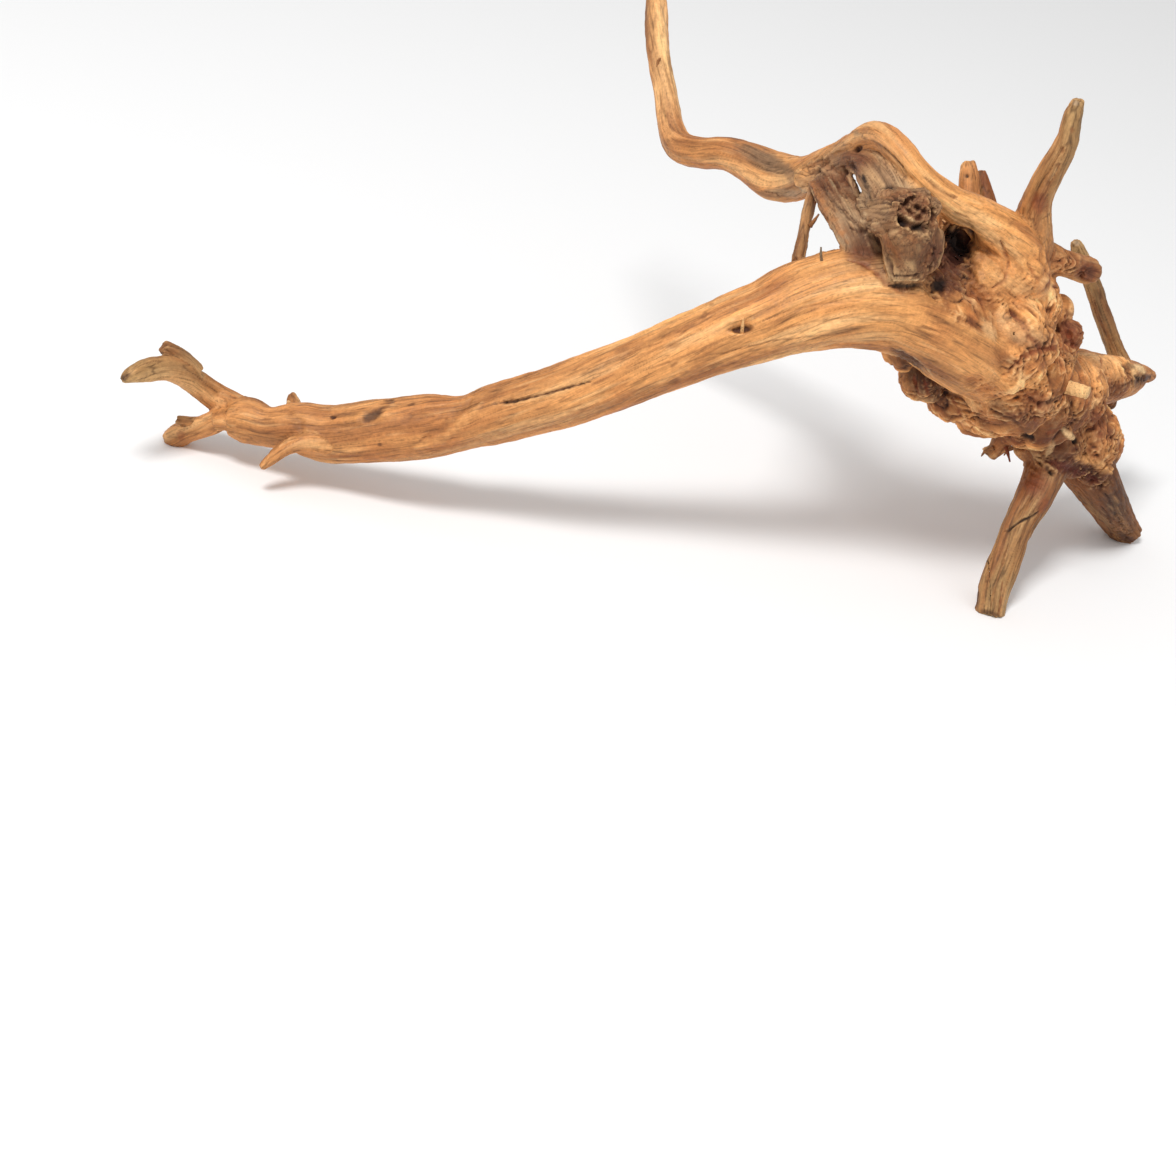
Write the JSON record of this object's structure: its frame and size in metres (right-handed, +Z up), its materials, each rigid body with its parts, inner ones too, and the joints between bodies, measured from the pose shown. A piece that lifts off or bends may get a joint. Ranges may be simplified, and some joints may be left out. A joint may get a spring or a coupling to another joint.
{
  "type": "aquarium driftwood",
  "caption": "Branching piece of aquarium driftwood: a long forked trunk, a knobbly burl, a curved arm over a hollow, dead grey stubs and short root legs that it stands on.",
  "frame": {"origin": "middle of the piece's box, on the surface that it stands on", "axes": "+Z up; +X along the piece, from the forked end of the trunk to the burl and its legs; -Y the side that the upper figure of the picture shows"},
  "size_m": [0.434, 0.2278, 0.2058],
  "materials": {
    "wood": "bare weathered wood, satin to matt, golden tan with brown folds and grey dead ends"
  },
  "bodies": {
    "root": {"driftwood": "wood"}
  },
  "joints": []
}
